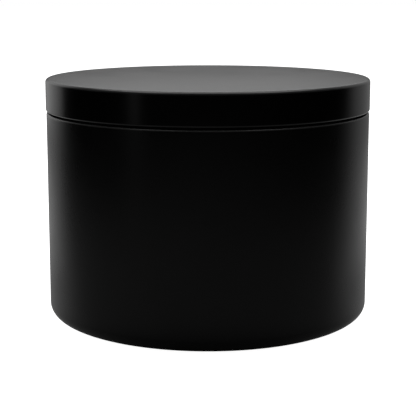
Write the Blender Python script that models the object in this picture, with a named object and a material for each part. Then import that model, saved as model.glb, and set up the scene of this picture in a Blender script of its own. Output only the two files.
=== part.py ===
"""Round tinplate tin with a slip lid, as sold empty to candle makers.

Two drawn pressings: the body, a straight cup with a recessed base panel, a stepped-in neck and a rim
rolled inwards, and the lid, a shallow cap whose hem is rolled inwards. The lid's skirt slips over the
neck and its top rests on the rim, so it lifts straight off.

Metres, +Z up. The origin is the centre of the circle that the tin stands on.
"""

import math

import bmesh
import bpy

MM = 0.001

# Driving dimensions
LID_RADIUS = 40.0 * MM
TIN_HEIGHT = 58.7 * MM  # closed, lid on
SHEET = 0.25 * MM  # tinplate, with its lacquer
SKIRT_HEIGHT = 7.8 * MM  # the lid, from its top to its lip
GROOVE_HEIGHT = 0.4 * MM  # between the lid's lip and the body's shoulder
BODY_RADIUS = 39.88 * MM
CLEARANCE = 0.3 * MM  # between the lid and the body, round the neck and over the rim

# Bends, each measured on the outer face of the sheet
LID_CORNER = 0.8 * MM
HEM_RADIUS = 0.45 * MM
RIM_RADIUS = 0.6 * MM
SHOULDER_RADIUS = 0.55 * MM
BASE_CORNER = 2.8 * MM
PANEL_BEND = 0.6 * MM

# Base: a flat ring to stand on, round a shallow recessed panel
PANEL_RADIUS = 35.0 * MM
PANEL_RISE = 1.2 * MM
CURL_TAIL = 0.5 * MM  # straight edge of the sheet past each roll

# Levels and radii that follow
LIP_Z = TIN_HEIGHT - SKIRT_HEIGHT
SHOULDER_Z = LIP_Z - GROOVE_HEIGHT
RIM_Z = TIN_HEIGHT - SHEET - CLEARANCE
HEM_INNER_RADIUS = LID_RADIUS - 2 * HEM_RADIUS
NECK_RADIUS = HEM_INNER_RADIUS - CLEARANCE
NECK_FOOT_BEND = BODY_RADIUS - NECK_RADIUS - SHOULDER_RADIUS
MOUTH_RADIUS = NECK_RADIUS - 2 * RIM_RADIUS

SEGMENTS = 64  # round the axis
BEND_STEP = math.radians(30)  # longest step round a bend
WELD = 1e-6

BLACK_LACQUER = dict(colour=(0.012, 0.012, 0.012, 1.0), roughness=0.42, metallic=0.0)


def clear_scene():
    """Remove whatever the file holds."""
    for thing in list(bpy.data.objects):
        bpy.data.objects.remove(thing, do_unlink=True)


def bent_face(corners, step=BEND_STEP):
    """Points (r, z) and normals of one face of a bent sheet, from its corners (r, z, bend radius).

    Each corner becomes a tangent arc; the two ends have none. A normal points to the left of the path.
    """
    points = []
    normals = []

    def add(r, z, normal):
        points.append((r, z))
        normals.append(normal)

    directions = []
    for (r0, z0, _), (r1, z1, _) in zip(corners, corners[1:]):
        length = math.hypot(r1 - r0, z1 - z0)
        directions.append(((r1 - r0) / length, (z1 - z0) / length))
    first = directions[0]
    add(corners[0][0], corners[0][1], (-first[1], first[0]))
    for (r, z, bend), before, after in zip(corners[1:-1], directions, directions[1:]):
        cross = before[0] * after[1] - before[1] * after[0]
        along = before[0] * after[0] + before[1] * after[1]
        turn = math.atan2(cross, along)
        side = math.copysign(1.0, turn)
        reach = bend * math.tan(abs(turn) / 2)
        start_normal = (-before[1], before[0])
        centre_r = r - reach * before[0] + side * bend * start_normal[0]
        centre_z = z - reach * before[1] + side * bend * start_normal[1]
        count = max(2, math.ceil(abs(turn) / step))
        for i in range(count + 1):
            angle = turn * i / count
            normal = (
                start_normal[0] * math.cos(angle) - start_normal[1] * math.sin(angle),
                start_normal[0] * math.sin(angle) + start_normal[1] * math.cos(angle),
            )
            add(centre_r - side * bend * normal[0], centre_z - side * bend * normal[1], normal)
    last = directions[-1]
    add(corners[-1][0], corners[-1][1], (-last[1], last[0]))
    return points, normals


def sheet_section(corners, thickness):
    """Section of a bent sheet: one face along its path, then the other face back again.

    The thickness is laid off to the left of the path, or to the right when it is negative.
    """
    points, normals = bent_face(corners)
    other = [(r + thickness * nr, z + thickness * nz) for (r, z), (nr, nz) in zip(points, normals)]
    # The second face starts on the axis too, whichever way its first normal leans.
    other[0] = (0.0, other[0][1])
    return points + other[::-1]


def without_repeats(section):
    """The section without points that fall on the one before."""
    kept = [section[0]]
    for point in section[1:]:
        if math.dist(point, kept[-1]) > WELD:
            kept.append(point)
    return kept


def turned(name, section, material):
    """Spin a section that starts and ends on the axis into one closed shell."""
    mesh = bpy.data.meshes.new(name)
    shell = bmesh.new()
    corners = [shell.verts.new((r, 0.0, z)) for r, z in without_repeats(section)]
    edges = [shell.edges.new(pair) for pair in zip(corners, corners[1:])]
    bmesh.ops.spin(
        shell,
        geom=corners + edges,
        axis=(0, 0, 1),
        cent=(0, 0, 0),
        angle=2 * math.pi,
        steps=SEGMENTS,
        use_merge=True,
    )
    bmesh.ops.remove_doubles(shell, verts=shell.verts, dist=WELD)
    bmesh.ops.recalc_face_normals(shell, faces=shell.faces)
    shell.to_mesh(mesh)
    shell.free()
    mesh.shade_smooth()
    mesh.set_sharp_from_angle(angle=math.radians(35))
    mesh.materials.append(material)
    piece = bpy.data.objects.new(name, mesh)
    bpy.context.scene.collection.objects.link(piece)
    return piece


def lacquer(name, colour, roughness, metallic):
    """Matte lacquer on tinplate."""
    material = bpy.data.materials.new(name)
    material.use_nodes = True
    shader = material.node_tree.nodes["Principled BSDF"]
    shader.inputs["Base Color"].default_value = colour
    shader.inputs["Roughness"].default_value = roughness
    shader.inputs["Metallic"].default_value = metallic
    return material


def body_section():
    """Underside of the base panel, out to the stand ring, up the wall, in over the shoulder, up the
    neck and inwards round the rim."""
    outer_face = [
        (0.0, PANEL_RISE, 0.0),
        (PANEL_RADIUS, PANEL_RISE, PANEL_BEND),
        (PANEL_RADIUS, 0.0, PANEL_BEND),
        (BODY_RADIUS, 0.0, BASE_CORNER),
        (BODY_RADIUS, SHOULDER_Z, SHOULDER_RADIUS),
        (NECK_RADIUS, SHOULDER_Z, NECK_FOOT_BEND),
        (NECK_RADIUS, RIM_Z, RIM_RADIUS),
        (MOUTH_RADIUS, RIM_Z, RIM_RADIUS),
        (MOUTH_RADIUS, RIM_Z - RIM_RADIUS - CURL_TAIL, 0.0),
    ]
    return sheet_section(outer_face, SHEET)


def lid_section():
    """Top of the lid, down the skirt and inwards round the hem."""
    outer_face = [
        (0.0, TIN_HEIGHT, 0.0),
        (LID_RADIUS, TIN_HEIGHT, LID_CORNER),
        (LID_RADIUS, LIP_Z, HEM_RADIUS),
        (HEM_INNER_RADIUS, LIP_Z, HEM_RADIUS),
        (HEM_INNER_RADIUS, LIP_Z + HEM_RADIUS + CURL_TAIL, 0.0),
    ]
    return sheet_section(outer_face, -SHEET)


def joint_empty(name):
    """An empty on the axis that the lid lifts along."""
    empty = bpy.data.objects.new(name, None)
    bpy.context.scene.collection.objects.link(empty)
    return empty


def build():
    """The body, and the lid on its lifting axis."""
    clear_scene()
    turned("tin_body", body_section(), lacquer("body_black_lacquer", **BLACK_LACQUER))
    lid = turned("lid", lid_section(), lacquer("lid_black_lacquer", **BLACK_LACQUER))
    lid.parent = joint_empty("lid_lift_axis")


build()
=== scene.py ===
# %% [markdown]
# # A black slip-lid tin
#
# This lesson finishes a small round tin of the kind that candle makers fill. It is two pressings of
# thin steel plate, lacquered matte black outside and left bright inside: a straight cup with a
# stepped-in neck, and a shallow lid that slips over the neck. The frame's faceted solids already say
# where each pressing lies and how the lid moves. What is left is to give the sheet its true round
# bends and even thickness, and to give the lacquer and the bare plate a finish that holds up close.

# %% Load the frame
import math

import bpy
import numpy as np
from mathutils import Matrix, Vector


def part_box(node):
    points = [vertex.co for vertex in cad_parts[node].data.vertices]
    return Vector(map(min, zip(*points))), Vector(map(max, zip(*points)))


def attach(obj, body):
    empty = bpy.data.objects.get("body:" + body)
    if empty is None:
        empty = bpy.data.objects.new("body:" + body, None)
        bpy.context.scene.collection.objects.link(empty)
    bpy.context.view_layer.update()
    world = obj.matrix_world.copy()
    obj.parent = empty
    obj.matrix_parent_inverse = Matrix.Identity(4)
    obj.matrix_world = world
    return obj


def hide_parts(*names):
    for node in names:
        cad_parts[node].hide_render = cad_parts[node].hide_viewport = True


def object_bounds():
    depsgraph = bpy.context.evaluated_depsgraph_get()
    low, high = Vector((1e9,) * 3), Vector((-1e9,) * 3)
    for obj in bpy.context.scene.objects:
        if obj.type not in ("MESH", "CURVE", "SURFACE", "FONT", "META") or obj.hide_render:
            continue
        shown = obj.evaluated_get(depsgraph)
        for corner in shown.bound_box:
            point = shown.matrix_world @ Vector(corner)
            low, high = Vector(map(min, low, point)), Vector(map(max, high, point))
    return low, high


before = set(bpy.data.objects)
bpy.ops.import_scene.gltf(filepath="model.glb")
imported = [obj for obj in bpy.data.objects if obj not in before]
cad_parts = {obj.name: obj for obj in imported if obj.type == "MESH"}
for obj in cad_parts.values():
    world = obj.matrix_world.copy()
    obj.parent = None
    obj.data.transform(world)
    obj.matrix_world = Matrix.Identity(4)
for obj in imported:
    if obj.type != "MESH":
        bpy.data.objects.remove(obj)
cad_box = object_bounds()

# %% [markdown]
# ## Sizes
#
# A presswork drawing gives a few outside sizes and the radius of every bend. The outside sizes are
# read off the frame, so the finished surfaces land on the solids they stand for. Only what a box
# cannot say is named here: the gauge of the plate, the bends, and where the base panel steps up.

# %% Sizes
MM = 0.001

lid_low, lid_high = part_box("lid")
body_low, body_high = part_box("tin_body")
LID_RADIUS = lid_high.x
TIN_HEIGHT = lid_high.z
LIP_Z = lid_low.z
BODY_RADIUS = body_high.x
RIM_Z = body_high.z

SHEET = 0.25 * MM
GROOVE_HEIGHT = 0.4 * MM
CLEARANCE = 0.3 * MM
LID_CORNER = 0.8 * MM
HEM_BEND = 0.45 * MM
RIM_BEND = 0.6 * MM
SHOULDER_BEND = 0.55 * MM
BASE_CORNER = 2.8 * MM
PANEL_BEND = 0.6 * MM
PANEL_RADIUS = 35.0 * MM
PANEL_RISE = 1.2 * MM
CURL_TAIL = 0.5 * MM

SHOULDER_Z = LIP_Z - GROOVE_HEIGHT
HEM_INNER = LID_RADIUS - 2 * HEM_BEND
NECK_RADIUS = HEM_INNER - CLEARANCE
NECK_FOOT_BEND = BODY_RADIUS - NECK_RADIUS - SHOULDER_BEND
MOUTH_RADIUS = NECK_RADIUS - 2 * RIM_BEND
print(f"lid {2000 * LID_RADIUS:.1f} mm across, tin {1000 * TIN_HEIGHT:.1f} mm tall,",
      f"mouth {2000 * MOUTH_RADIUS:.1f} mm")

# %% [markdown]
# ## A bent sheet as a section
#
# Sheet metal is the same thickness everywhere, bends included, so drawing both of its faces by hand
# is a waste: draw one face as a path of corners with bend radii, and lay the other off along the
# path's normal. Every corner turns into an arc tangent to the runs beside it. On the runs, points
# crowd towards the bends, because that is where the shading changes, and a long plain run then
# doesn't borrow its neighbour's slant.

# %% Section of a bent sheet
ARC_POINTS = 14
RUN_POINTS = 16
WELD = 0.001 * MM  # points closer than this are one point


def run_points(start, end):
    """Start + (end - start) * s, where s is half of one minus a cosine, so points gather at both ends."""
    s = (1 - np.cos(np.linspace(0, np.pi, RUN_POINTS))) / 2
    return start + s[:, None] * (end - start)


def arc_at(corner, before, after, bend):
    """Arc that rounds a corner: (points, normals).

    The normal turns evenly from the left of one run to the left of the next. The centre lies one bend
    radius from both runs, and each point is the centre less (or plus) the bend radius times the normal.
    """
    turn = math.atan2(before[0] * after[1] - before[1] * after[0], before @ after)
    side = math.copysign(1.0, turn)
    first = np.array([-before[1], before[0]])
    centre = corner - bend * math.tan(abs(turn) / 2) * before + side * bend * first
    angle = np.linspace(0, turn, ARC_POINTS)
    normals = np.stack([first[0] * np.cos(angle) - first[1] * np.sin(angle),
                        first[0] * np.sin(angle) + first[1] * np.cos(angle)], axis=1)
    return centre - side * bend * normals, normals


def run_rows(run, along):
    """Rows for the points of a straight run: their normal is the run's own, turned left, and crown is 0."""
    normals = np.tile([-along[1], along[0]], (len(run), 1))
    return np.column_stack([run, normals, np.zeros(len(run))])


def bent_face(corners):
    """One face of the sheet, as rows of (r, z, normal r, normal z, crown).

    Crown rises from 0 to 1 and back over each bend, as the sine of the way along it: that is where
    a lacquered pressing is scuffed first, and where the lacquer gets its painted highlight. Where two bends
    meet with no run between them, the points that fall on one another are left out.
    """
    place = np.array([corner[:2] for corner in corners])
    way = np.diff(place, axis=0)
    way /= np.linalg.norm(way, axis=1, keepdims=True)
    rows = []
    start = place[0]
    for corner, before, after, bend in zip(place[1:-1], way, way[1:], [c[2] for c in corners[1:-1]]):
        points, normals = arc_at(corner, before, after, bend)
        rows.append(run_rows(run_points(start, points[0])[:-1], before))
        rows.append(np.column_stack([points, normals, np.sin(np.linspace(0, np.pi, ARC_POINTS))]))
        start = points[-1]
    rows.append(run_rows(run_points(start, place[-1])[1:], way[-1]))
    rows = np.concatenate(rows)
    step = np.linalg.norm(np.diff(rows[:, :2], axis=0), axis=1)
    return rows[np.append(True, step > WELD)]


def sheet_section(corners, thickness):
    """Closed section of the sheet, from the axis round its free edge and back to the axis.

    The second face is the first plus the thickness times the normal, in the opposite order. Returns
    the points, the crown of each point (0 on the second face), and how many points the first face has.
    """
    face = bent_face(corners)
    other = face[::-1, :2] + thickness * face[::-1, 2:4]
    other[-1, 0] = 0.0
    points = np.concatenate([face[:, :2], other])
    crown = np.concatenate([face[:, 4], np.zeros(len(other))])
    return points, crown, len(face)


# %% [markdown]
# ## From section to shell
#
# Both pressings are round, so a surface of revolution is exact: ring i, step j of the grid is the
# section's point i turned by step j. A spin tool would do the same, but the grid keeps hold of which
# row is which, and that gives three things for nothing: the outer face gets the lacquer and the rest
# the bare plate, the bends carry their crown as an attribute, and real plate's slight hollows can be
# pressed in as a function of radius, height and angle.

# %% Surface of revolution
STEPS = 240
SHARP_ANGLE = math.radians(40)  # only the cut edge of the plate turns more sharply than this


def shell(name, section, relief, finishes):
    """A closed turned shell.

    A point is ((r + dr) cos a, (r + dr) sin a, z + dz), where (dr, dz) = relief(r, z, a) is the same
    on both faces of the sheet. The two ends of the section are on the axis, one vertex each.
    """
    points, crown, outer_rows = section
    r, z = points[1:-1, :1], points[1:-1, 1:]
    a = 2 * np.pi * np.arange(STEPS)[None] / STEPS
    dr, dz = relief(r, z, a)
    grid = np.stack([(r + dr) * np.cos(a), (r + dr) * np.sin(a), z + dz], axis=-1)
    poles = np.zeros((2, 3))
    end_dz = relief(np.zeros((2, 1)), points[[0, -1], 1:], np.zeros((1, 1)))[1]
    poles[:, 2] = points[[0, -1], 1] + end_dz[:, 0]
    vertices = np.concatenate([grid.reshape(-1, 3), poles])

    rings = len(points) - 2
    here = np.arange(rings * STEPS).reshape(rings, STEPS)
    beside = np.roll(here, -1, axis=1)
    quads = np.stack([here[:-1], beside[:-1], beside[1:], here[1:]], axis=-1).reshape(-1, 4)
    first, last = rings * STEPS, rings * STEPS + 1
    fan_first = np.stack([np.full(STEPS, first), beside[0], here[0]], axis=-1)
    fan_last = np.stack([np.full(STEPS, last), here[-1], beside[-1]], axis=-1)
    ring_is_bare = np.arange(rings - 1) >= outer_rows - 2
    bare = np.concatenate([np.repeat(ring_is_bare, STEPS), np.zeros(STEPS), np.ones(STEPS)])
    if signed_area(points) < 0:
        quads, fan_first, fan_last = quads[:, ::-1], fan_first[:, ::-1], fan_last[:, ::-1]

    mesh = bpy.data.meshes.new(name)
    mesh.from_pydata(vertices, [], quads.tolist() + fan_first.tolist() + fan_last.tolist())
    mesh.attributes.new("crown", "FLOAT", "POINT").data.foreach_set(
        "value", np.concatenate([np.repeat(crown[1:-1], STEPS), [0, 0]]).astype(np.float32))
    for finish in finishes:
        mesh.materials.append(finish)
    mesh.polygons.foreach_set("material_index", bare.astype(np.int32))
    mesh.shade_smooth()
    mesh.set_sharp_from_angle(angle=SHARP_ANGLE)
    mesh.validate()
    mesh.update()
    piece = bpy.data.objects.new(name, mesh)
    bpy.context.scene.collection.objects.link(piece)
    print(f"{name}: {len(mesh.vertices)} vertices, {2 * len(quads) + 2 * STEPS} triangles")
    return piece


def signed_area(points):
    """Area inside the closed section, positive when it runs anticlockwise: half the sum of the cross
    products of neighbouring points."""
    following = np.roll(points, -1, axis=0)
    return 0.5 * np.sum(points[:, 0] * following[:, 1] - points[:, 1] * following[:, 0])


# %% [markdown]
# ## Finish: matte black lacquer
#
# The outside is a baked matte lacquer, put on the flat plate before it is pressed. It is very dark and
# nearly colourless, and almost all that the eye gets from it is the soft reflection at glancing
# angles. What separates it from black plastic is its surface: a fine dry grain, a slow orange peel a
# millimetre or so long, patches where it cured a little duller, and a slight polish on the bends, where
# the press stretched it and other tins touch it. The bends are also greyed, partly as scuffing and partly
# as a painted highlight that brightens them, above all the thin lines of light along the lid's hem and the
# body's shoulder. All of these are noises on object coordinates, at real sizes. The two pressings come
# from different sheets: the lid is a touch smoother.

# %% Helpers for node trees
def add(tree, kind, inputs=None, **settings):
    """A node of that kind, with its settings, and its input values by name or number."""
    made = tree.nodes.new(kind)
    for name, value in settings.items():
        setattr(made, name, value)
    for name, value in (inputs or {}).items():
        made.inputs[name].default_value = value
    return made


def noise(tree, vector, feature, detail=2.0, roughness=0.5):
    """Noise whose blotches are about feature metres across."""
    made = add(tree, "ShaderNodeTexNoise", {"Scale": 1 / feature, "Detail": detail, "Roughness": roughness})
    tree.links.new(vector, made.inputs["Vector"])
    return made.outputs["Fac"]


def remap(tree, value, low, high, start=0.0, end=1.0):
    """Value carried from start..end to low..high, and held at the ends."""
    made = add(tree, "ShaderNodeMapRange",
               {"From Min": start, "From Max": end, "To Min": low, "To Max": high})
    tree.links.new(value, made.inputs["Value"])
    return made.outputs["Result"]


def times(tree, one, other):
    """Product of two values."""
    made = add(tree, "ShaderNodeMath", operation="MULTIPLY")
    tree.links.new(one, made.inputs[0])
    tree.links.new(other, made.inputs[1])
    return made.outputs["Value"]


def blend(tree, share, one, other):
    """Colour between two fixed colours, by a share."""
    made = add(tree, "ShaderNodeMix", data_type="RGBA")
    made.inputs["A"].default_value = one
    made.inputs["B"].default_value = other
    tree.links.new(share, made.inputs["Factor"])
    return made.outputs["Result"]


def bump(tree, height, depth, below=None):
    """Normal of a surface that is depth metres high where height is 1, on top of another normal."""
    made = add(tree, "ShaderNodeBump", {"Strength": 1.0, "Distance": depth})
    tree.links.new(height, made.inputs["Height"])
    if below:
        tree.links.new(below, made.inputs["Normal"])
    return made.outputs["Normal"]


def finish(name):
    """A new material: (material, node tree, shader, object coordinates)."""
    material = bpy.data.materials.new(name)
    material.use_nodes = True
    tree = material.node_tree
    shader = tree.nodes["Principled BSDF"]
    place = add(tree, "ShaderNodeTexCoord").outputs["Object"]
    return material, tree, shader, place


# %% Matte black lacquer
LACQUER_IOR = 1.45
LACQUER_BLACK = (0.0014, 0.0014, 0.0014, 1.0)
GRAIN = 0.14 * MM
GRAIN_DEPTH = 0.0016 * MM
PEEL = 1.2 * MM
PEEL_DEPTH = 0.0035 * MM
CURE_PATCH = 9 * MM
# patches that break up the grey of the bends, which is scuffing plus a painted highlight
WEAR_AND_HIGHLIGHT_PATCH = 2.5 * MM
WEAR_AND_HIGHLIGHT_SPREAD = (0.8, 1.0)  # nearly even: least and most
POLISH = 0.06  # how much smoother than the flat the crown of a bend is
NOISE_CORE = (0.3, 0.7)  # nearly all of a noise's values lie between these


def black_lacquer(name, smoothest, dullest, wear_and_highlight_grey):
    """Baked matte lacquer with grain, orange peel, cure patches, and bends greyed by scuffing and a painted
    highlight.

    Its roughness wanders between smoothest and dullest from patch to patch, and the last argument is the
    grey
    that the crown of a bend goes to: partly lacquer worn thin, partly a painted highlight on the bends.
    """
    material, tree, shader, place = finish(name)
    shader.inputs["IOR"].default_value = LACQUER_IOR
    patches = noise(tree, place, CURE_PATCH, detail=3)
    peel = noise(tree, place, PEEL)
    grain = noise(tree, place, GRAIN, detail=3, roughness=0.6)

    # the crown of each bend is painted a lighter grey: partly scuffing, partly a painted highlight
    crown = add(tree, "ShaderNodeAttribute", attribute_name="crown").outputs["Fac"]
    wear_and_highlight_patches = remap(tree, noise(tree, place, WEAR_AND_HIGHLIGHT_PATCH, detail=4), *WEAR_AND_HIGHLIGHT_SPREAD, *NOISE_CORE)
    wear_and_highlight = times(tree, crown, wear_and_highlight_patches)
    tree.links.new(blend(tree, wear_and_highlight, LACQUER_BLACK, (wear_and_highlight_grey, wear_and_highlight_grey, wear_and_highlight_grey, 1.0)), shader.inputs["Base Color"])

    dullness = add(tree, "ShaderNodeMath", operation="SUBTRACT")
    tree.links.new(remap(tree, patches, smoothest, dullest, *NOISE_CORE), dullness.inputs[0])
    tree.links.new(remap(tree, wear_and_highlight, 0.0, POLISH), dullness.inputs[1])
    tree.links.new(dullness.outputs["Value"], shader.inputs["Roughness"])

    peeled = bump(tree, peel, PEEL_DEPTH)
    tree.links.new(bump(tree, grain, GRAIN_DEPTH, peeled), shader.inputs["Normal"])
    return material


# %% [markdown]
# ## Finish: bare tinplate
#
# Inside, the plate keeps its mill finish under a film of clear lacquer: a neutral silver, never a true
# mirror, with the faint grain of the rolls. On the floor and under the lid that grain is straight, since
# pressing doesn't move the plate there. On the walls the drawing drags it into fine upright lines. The
# surface's own up direction tells the two apart.

# %% Bare tinplate
PLATE_SILVER = (0.94, 0.936, 0.928, 1.0)
PLATE_SHADE = (0.63, 0.626, 0.618, 1.0)
PLATE_METALLIC = 0.85  # the rest scatters, as under a film of lacquer
PLATE_ROUGHNESS = (0.20, 0.48)
PLATE_RELIEF = 0.0016 * MM
FILM = 0.35  # weight of the clear lacquer
FILM_ROUGHNESS = 0.18
ROLLED_GRAIN = 0.6 * MM
DRAWN_LINES = 0.9 * MM
STREAK = 0.02  # how far a noise is drawn out: it repeats this much more slowly along a streak
ROLLED_SHARE = (0.4, 0.8)  # share of the rolled grain, on the walls and on level faces


def stretched(tree, place, scale):
    """Coordinates scaled differently along X, Y and Z, so that a noise on them turns into streaks."""
    made = add(tree, "ShaderNodeMapping", {"Scale": scale})
    tree.links.new(place, made.inputs["Vector"])
    return made.outputs["Vector"]


def bare_tinplate():
    """Mill-finished plate: mostly rolled grain along X on level faces, mostly upright lines on walls."""
    material, tree, shader, place = finish("bare_tinplate")
    shader.inputs["Metallic"].default_value = PLATE_METALLIC
    shader.inputs["Coat Weight"].default_value = FILM
    shader.inputs["Coat Roughness"].default_value = FILM_ROUGHNESS
    along_x, upright = (STREAK, 1.0, 1.0), (1.0, 1.0, STREAK)
    rolled = noise(tree, stretched(tree, place, along_x), ROLLED_GRAIN, detail=5, roughness=0.6)
    drawn = noise(tree, stretched(tree, place, upright), DRAWN_LINES, detail=5, roughness=0.6)

    facing = add(tree, "ShaderNodeSeparateXYZ")
    tree.links.new(add(tree, "ShaderNodeTexCoord").outputs["Normal"], facing.inputs["Vector"])
    level = add(tree, "ShaderNodeMath", operation="ABSOLUTE")
    tree.links.new(facing.outputs["Z"], level.inputs[0])
    streaks = add(tree, "ShaderNodeMix", data_type="FLOAT")
    tree.links.new(remap(tree, level.outputs["Value"], 0.0, 1.0, *ROLLED_SHARE), streaks.inputs["Factor"])
    tree.links.new(drawn, streaks.inputs["A"])
    tree.links.new(rolled, streaks.inputs["B"])

    grain = streaks.outputs["Result"]
    tree.links.new(blend(tree, grain, PLATE_SHADE, PLATE_SILVER), shader.inputs["Base Color"])
    tree.links.new(remap(tree, grain, *PLATE_ROUGHNESS, *NOISE_CORE), shader.inputs["Roughness"])
    tree.links.new(bump(tree, grain, PLATE_RELIEF), shader.inputs["Normal"])
    return material


# the last number is the grey of the bends: scuffing plus a painted highlight
body_lacquer = black_lacquer("body_lacquer", 0.26, 0.30, 0.055)
lid_lacquer = black_lacquer("lid_lacquer", 0.20, 0.23, 0.030)
tinplate = bare_tinplate()
print("finishes:", body_lacquer.name, lid_lacquer.name, tinplate.name)

# %% [markdown]
# ## The body
#
# One drawing makes the whole cup: the recessed base panel, the ring it stands on, the wall, the
# shoulder, the neck and the rolled rim. Read along the outside, the path starts at the middle of
# the base and ends at the cut edge, tucked inside the roll where it can't catch a finger. The wall of
# a drawn cup is never perfectly round or straight, so it gets an oval of a few hundredths of a
# millimetre, and the panel a shallow dish.

# %% Body
WALL_OVAL = 0.025 * MM
WALL_TRIANGLE = 0.4 * WALL_OVAL
PANEL_DISH = 0.12 * MM


def body_relief(r, z, a):
    """Wall: a two-lobed swell plus a slighter three-lobed one, both strongest half way up.

    Base panel: a dish that dies out at its bend, as the square of one less the square of the way out.
    """
    up = np.clip((z - BASE_CORNER) / (SHOULDER_Z - SHOULDER_BEND - BASE_CORNER), 0, 1)
    on_wall = (r > PANEL_RADIUS) * np.sin(np.pi * up) ** 2
    lobes = WALL_OVAL * np.cos(2 * a + 0.7) + WALL_TRIANGLE * np.cos(3 * a - 1.1)
    inward = np.clip(1 - (r / (PANEL_RADIUS - PANEL_BEND)) ** 2, 0, 1) * (z < 2 * PANEL_RISE)
    return on_wall * lobes, PANEL_DISH * inward**2 + 0 * a


body_corners = [
    (0.0, PANEL_RISE, 0.0),
    (PANEL_RADIUS, PANEL_RISE, PANEL_BEND),
    (PANEL_RADIUS, body_low.z, PANEL_BEND),
    (BODY_RADIUS, body_low.z, BASE_CORNER),
    (BODY_RADIUS, SHOULDER_Z, SHOULDER_BEND),
    (NECK_RADIUS, SHOULDER_Z, NECK_FOOT_BEND),
    (NECK_RADIUS, RIM_Z, RIM_BEND),
    (MOUTH_RADIUS, RIM_Z, RIM_BEND),
    (MOUTH_RADIUS, RIM_Z - RIM_BEND - CURL_TAIL, 0.0),
]
body_sheet = sheet_section(body_corners, SHEET)
drawn_body = shell("drawn_body", body_sheet, body_relief, [body_lacquer, tinplate])
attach(drawn_body, "tin")
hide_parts("tin_body")

# %% [markdown]
# ## The lid
#
# The lid is the same idea the other way up, so its path runs from the middle of the top, down the
# skirt and round the hem, with the sheet on its right. Its top is pressed with a slight crown, which
# keeps thin plate from clicking in and out: a quarter of a millimetre at the middle. The crown is seldom
# even, and a wave of a fiftieth of a millimetre is enough to keep its reflection from looking ruled.

# %% Lid
TOP_CROWN = 0.25 * MM
TOP_WAVE = 0.02 * MM


def lid_relief(r, z, a):
    """Top: highest in the middle, as one less the square of the way out, plus a two-lobed wave.

    Both die out at the corner, and nothing moves sideways.
    """
    out = np.clip(r / (LID_RADIUS - LID_CORNER), 0, 1)
    on_top = z > TIN_HEIGHT - 2 * SHEET
    crown = TOP_CROWN * (1 - out**2)
    wave = TOP_WAVE * 4 * out**2 * (1 - out**2) * np.cos(2 * a - 0.4)
    return 0 * (r + a), on_top * (crown + wave)


lid_corners = [
    (0.0, TIN_HEIGHT, 0.0),
    (LID_RADIUS, TIN_HEIGHT, LID_CORNER),
    (LID_RADIUS, LIP_Z, HEM_BEND),
    (HEM_INNER, LIP_Z, HEM_BEND),
    (HEM_INNER, LIP_Z + HEM_BEND + CURL_TAIL, 0.0),
]
lid_sheet = sheet_section(lid_corners, -SHEET)
slip_lid = shell("slip_lid", lid_sheet, lid_relief, [lid_lacquer, tinplate])
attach(slip_lid, "lid")
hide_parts("lid")

# %% [markdown]
# ## Camera
#
# The view is a normal product view: a long lens less than four tin-widths away, a little above the
# lid, looking slightly down. A small vertical shift, as on a view camera, lets it dip less than it
# would need to centre the tin, so the sides converge less.

# %% Camera
CAMERA_DISTANCE = 293.3 * MM
CAMERA_HEIGHT = 83.2 * MM
CAMERA_DIP = math.radians(9.79)
CAMERA_LENS = 102.3
CAMERA_SENSOR = 36
SHIFT_RIGHT = 0.0004
SHIFT_UP = -0.066

camera = bpy.data.objects.new("camera", bpy.data.cameras.new("camera"))
bpy.context.scene.collection.objects.link(camera)
camera.location = Vector((0, -CAMERA_DISTANCE, CAMERA_HEIGHT))
camera.rotation_euler = (math.pi / 2 - CAMERA_DIP, 0, 0)
camera.data.lens = CAMERA_LENS
camera.data.sensor_width = CAMERA_SENSOR
camera.data.shift_x = SHIFT_RIGHT
camera.data.shift_y = SHIFT_UP
bpy.context.scene.camera = camera
print(f"camera {camera.location.length / MM:.0f} mm from the base,",
      f"dipped {math.degrees(CAMERA_DIP):.1f} degrees")

# %% [markdown]
# ## Studio
#
# Black on white is lit by its edges. Pale panels stand behind the tin, so that the lid's top and the
# body's two sides pick them up at a glance, and the room in front stays dim, so that the middle goes to
# near black. The room is the world's own background, as a brightness that depends on direction: panels
# with soft sides, each given by which way it lies, counted from straight behind the tin, and by how high
# it reaches.

# %% Directions
def turn_and_rise(tree, way):
    """Degrees round from straight behind (left is negative) and degrees above level, of a vector."""
    part = add(tree, "ShaderNodeSeparateXYZ")
    tree.links.new(way, part.inputs["Vector"])
    turn = add(tree, "ShaderNodeMath", operation="ARCTAN2")
    tree.links.new(part.outputs["X"], turn.inputs[0])
    tree.links.new(part.outputs["Y"], turn.inputs[1])
    rise = add(tree, "ShaderNodeMath", operation="ARCSINE")
    tree.links.new(part.outputs["Z"], rise.inputs[0])
    degrees = []
    for angle in (turn, rise):
        made = add(tree, "ShaderNodeMath", {1: math.degrees(1)}, operation="MULTIPLY")
        tree.links.new(angle.outputs["Value"], made.inputs[0])
        degrees.append(made.outputs["Value"])
    return degrees


def ramp(tree, value, start, end, low=0.0, high=1.0):
    """Value carried from start..end to low..high along an S, and held at the ends."""
    made = add(tree, "ShaderNodeMapRange",
               {"From Min": start, "From Max": end, "To Min": low, "To Max": high},
               interpolation_type="SMOOTHSTEP")
    tree.links.new(value, made.inputs["Value"])
    return made.outputs["Result"]


def window(tree, value, rise_from, rise_to, fall_from, fall_to):
    """0 below rise_from, 1 between rise_to and fall_from, and 0 above fall_to, with smooth ramps."""
    rising = ramp(tree, value, rise_from, rise_to)
    falling = ramp(tree, value, fall_from, fall_to, 1.0, 0.0)
    return times(tree, rising, falling)


def total(tree, values):
    """Sum of several values."""
    while len(values) > 1:
        made = add(tree, "ShaderNodeMath", operation="ADD")
        tree.links.new(values[0], made.inputs[0])
        tree.links.new(values[1], made.inputs[1])
        values = [made.outputs["Value"]] + values[2:]
    return values[0]


def scaled(tree, value, factor):
    """Value times a fixed factor."""
    made = add(tree, "ShaderNodeMath", {1: factor}, operation="MULTIPLY")
    tree.links.new(value, made.inputs[0])
    return made.outputs["Value"]


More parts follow.
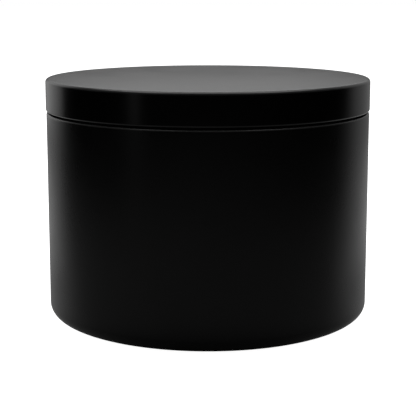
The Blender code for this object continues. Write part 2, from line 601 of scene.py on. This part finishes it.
# %% World
PANELS = [
    # sides, in degrees round from straight behind; bottom and top, in degrees above level; light
    ((-64, -42, -18, -8), (-40, -20, 30, 60), 0.22),  # pale wall, left
    ((-60, -58, -30, -12), (-40, -20, 25, 40), 0.38),  # hard-edged board in front of it
    ((8, 18, 54, 72), (-40, -20, 30, 60), 0.26),  # pale wall, right
    ((-20, -3, 3, 20), (5, 9, 30, 50), 0.755),  # bright scrim, for the lid's top
    ((-136, -130, -128, -122), (-12, -7, 12, 20), 0.22),  # slim strip, front left
    ((-150, -110, 110, 150), (40, 65, 95, 100), 0.50),  # ceiling, except over the front
    ((-200, -190, 190, 200), (7, 14, 50, 70), 0.07),  # the room's own dim walls, all round
]
SWEEP_WHITE = 1.0


def studio_world():
    """World lit by its panels, which shows the camera plain white."""
    world = bpy.data.worlds.new("studio")
    bpy.context.scene.world = world
    world.use_nodes = True
    tree = world.node_tree
    tree.nodes.clear()
    turn, rise = turn_and_rise(tree, add(tree, "ShaderNodeTexCoord").outputs["Generated"])
    panels = []
    for sides, heights, light in PANELS:
        patch = times(tree, window(tree, turn, *sides), window(tree, rise, *heights))
        panels.append(scaled(tree, patch, light))
    room = add(tree, "ShaderNodeBackground", {"Color": (1, 1, 1, 1)})
    tree.links.new(total(tree, panels), room.inputs["Strength"])
    seen = add(tree, "ShaderNodeBackground", {"Color": (1, 1, 1, 1), "Strength": SWEEP_WHITE})
    choice = add(tree, "ShaderNodeMixShader")
    tree.links.new(add(tree, "ShaderNodeLightPath").outputs["Is Camera Ray"], choice.inputs["Fac"])
    tree.links.new(room.outputs["Background"], choice.inputs[1])
    tree.links.new(seen.outputs["Background"], choice.inputs[2])
    tree.links.new(choice.outputs["Shader"], add(tree, "ShaderNodeOutputWorld").inputs["Surface"])


studio_world()

# %% [markdown]
# ## Table
#
# A white table would be mirrored in the whole lower half of the tin and turn it grey, so in a studio
# most of it is kept out of the reflections. Here it is two planes at the same level. One is for the
# eye only: white, and lit through, so that it looks shadowless. The other is what the lacquer sees: a
# round top that is dim, brighter towards the panels behind, and dark close to the tin, which stands in
# its own light.

# %% Floor
FLOOR_SIDE = 6.0
FLOOR_WHITES = ((0.88, 0.88, 0.88, 1), (0.92, 0.92, 0.92, 1))
FLOOR_MOTTLE = 300 * MM  # size of the patches of the two whites
FLOOR_ROUGHNESS = 0.8
FLOOR_SPECULAR = 0.1
FLOOR_GLOW = 0.985
FLOOR_GAP = 0.02 * MM
FLOOR_Z = cad_box[0].z - FLOOR_GAP


def pale_floor():
    """The white table that the eye sees."""
    bpy.ops.mesh.primitive_plane_add(size=FLOOR_SIDE, location=(0, 0, FLOOR_Z))
    floor = bpy.context.object
    floor.name = "floor"
    material, tree, shader, place = finish("white_table")
    shader.inputs["Roughness"].default_value = FLOOR_ROUGHNESS
    shader.inputs["Specular IOR Level"].default_value = FLOOR_SPECULAR
    mottle = noise(tree, place, FLOOR_MOTTLE)
    tree.links.new(blend(tree, mottle, *FLOOR_WHITES), shader.inputs["Base Color"])
    shader.inputs["Emission Color"].default_value = (1, 1, 1, 1)
    shader.inputs["Emission Strength"].default_value = FLOOR_GLOW
    floor.data.materials.append(material)
    floor.visible_glossy = False
    floor.visible_diffuse = False
    return floor


# %% Table top in the reflections
TOP_RADIUS = 400 * MM
TOP_SIDES = 96
SHADE = (16 * MM, 45 * MM)  # the tin's own shade: full up to the first distance, gone at the second
SHADE_FORWARD = 20 * MM  # how far in front of the axis the shade is centred
POOL_LIGHT = 0.110  # a faint pool of light round the tin
POOL_FADE = (130 * MM, 460 * MM)
POOL_SQUEEZE = (1.5, 1, 1)  # it is narrower from side to side than from front to back
POOL_TILT = (1.4, 1.1, -120 * MM, 20 * MM)  # and brighter on the left
BACK_LIGHT = (0.175, 0.345)  # the sector behind the tin: weakest and strongest
BACK_RING = (58 * MM, 110 * MM, 200 * MM, 450 * MM)  # strongest between the middle two distances
BACK_SIDES = (-64, -40, 44, 73)  # degrees round from straight behind
BACK_STARTS = (-35 * MM, -5 * MM)
SECTOR_POINT = 62 * MM  # how far in front of the axis its degrees are counted from
LEFT_SIDES = (-30, -16, -4, 6)  # a stronger part of it, in the same degrees
LEFT_GAIN = 1.3


def moved(tree, place, step):
    """Vector plus a fixed step."""
    made = add(tree, "ShaderNodeVectorMath", {1: step}, operation="ADD")
    tree.links.new(place, made.inputs[0])
    return made.outputs["Vector"]


def length(tree, vector):
    """Length of a vector."""
    made = add(tree, "ShaderNodeVectorMath", operation="LENGTH")
    tree.links.new(vector, made.inputs[0])
    return made.outputs["Value"]


def table_light(tree, place):
    """Light of the table at a place: the shade times the sum of the lit pool and the lit back.

    The pool fades with distance and tilts from left to right. The back is a sector behind the tin,
    stronger on its left and in a ring round the tin.
    """
    shade = ramp(tree, length(tree, moved(tree, place, (0, SHADE_FORWARD, 0))), *SHADE)
    pool = ramp(tree, length(tree, stretched(tree, place, POOL_SQUEEZE)), *POOL_FADE, 1.0, 0.0)
    part = add(tree, "ShaderNodeSeparateXYZ")
    tree.links.new(place, part.inputs["Vector"])
    tilt = remap(tree, part.outputs["X"], *POOL_TILT)

    turn = turn_and_rise(tree, moved(tree, place, (0, SECTOR_POINT, 0)))[0]
    back = times(tree, window(tree, turn, *BACK_SIDES), ramp(tree, part.outputs["Y"], *BACK_STARTS))
    left = remap(tree, window(tree, turn, *LEFT_SIDES), 1.0, LEFT_GAIN)
    ring = remap(tree, window(tree, length(tree, place), *BACK_RING), *BACK_LIGHT)

    lit_pool = times(tree, scaled(tree, pool, POOL_LIGHT), tilt)
    lit_back = times(tree, times(tree, back, left), ring)
    return times(tree, shade, total(tree, [lit_pool, lit_back]))


def dim_table():
    """The round table top that only the tin sees."""
    bpy.ops.mesh.primitive_circle_add(vertices=TOP_SIDES, radius=TOP_RADIUS, fill_type="NGON")
    top = bpy.context.object
    top.location.z = FLOOR_Z
    top.name = "dim_table"
    material = bpy.data.materials.new("dim_table")
    material.use_nodes = True
    tree = material.node_tree
    tree.nodes.clear()
    place = add(tree, "ShaderNodeTexCoord").outputs["Object"]
    glow = add(tree, "ShaderNodeEmission", {"Color": (1, 1, 1, 1)})
    tree.links.new(table_light(tree, place), glow.inputs["Strength"])
    tree.links.new(glow.outputs["Emission"], add(tree, "ShaderNodeOutputMaterial").inputs["Surface"])
    top.data.materials.append(material)
    top.visible_camera = False
    top.visible_shadow = False
    return top


print("table:", pale_floor().name, "for the eye,", dim_table().name, "for the reflections")

# %% Lights
OVERHEAD_PLACE = (0, 0.1, 0.9)
OVERHEAD_SIZE = (1.2, 0.9)
OVERHEAD_POWER = 4.5


def softbox(name, place, aim, size, power):
    """A rectangular area light at place, facing aim."""
    light = bpy.data.lights.new(name, "AREA")
    light.shape = "RECTANGLE"
    light.size, light.size_y = size
    light.energy = power
    lamp = bpy.data.objects.new(name, light)
    bpy.context.scene.collection.objects.link(lamp)
    lamp.location = place
    lamp.rotation_euler = (Vector(aim) - Vector(place)).to_track_quat("-Z", "Y").to_euler()
    return lamp


middle = Vector((0, 0, TIN_HEIGHT / 2))
overhead = softbox("overhead", OVERHEAD_PLACE, middle, OVERHEAD_SIZE, OVERHEAD_POWER)
print(f"lights: {len(PANELS)} panels of the world and one softbox {overhead.location.z:.1f} m up")

# %% [markdown]
# ## Close
#
# The tones are left as they fall, with no film curve over them.

# %% Tones
bpy.context.scene.view_settings.view_transform = "Standard"
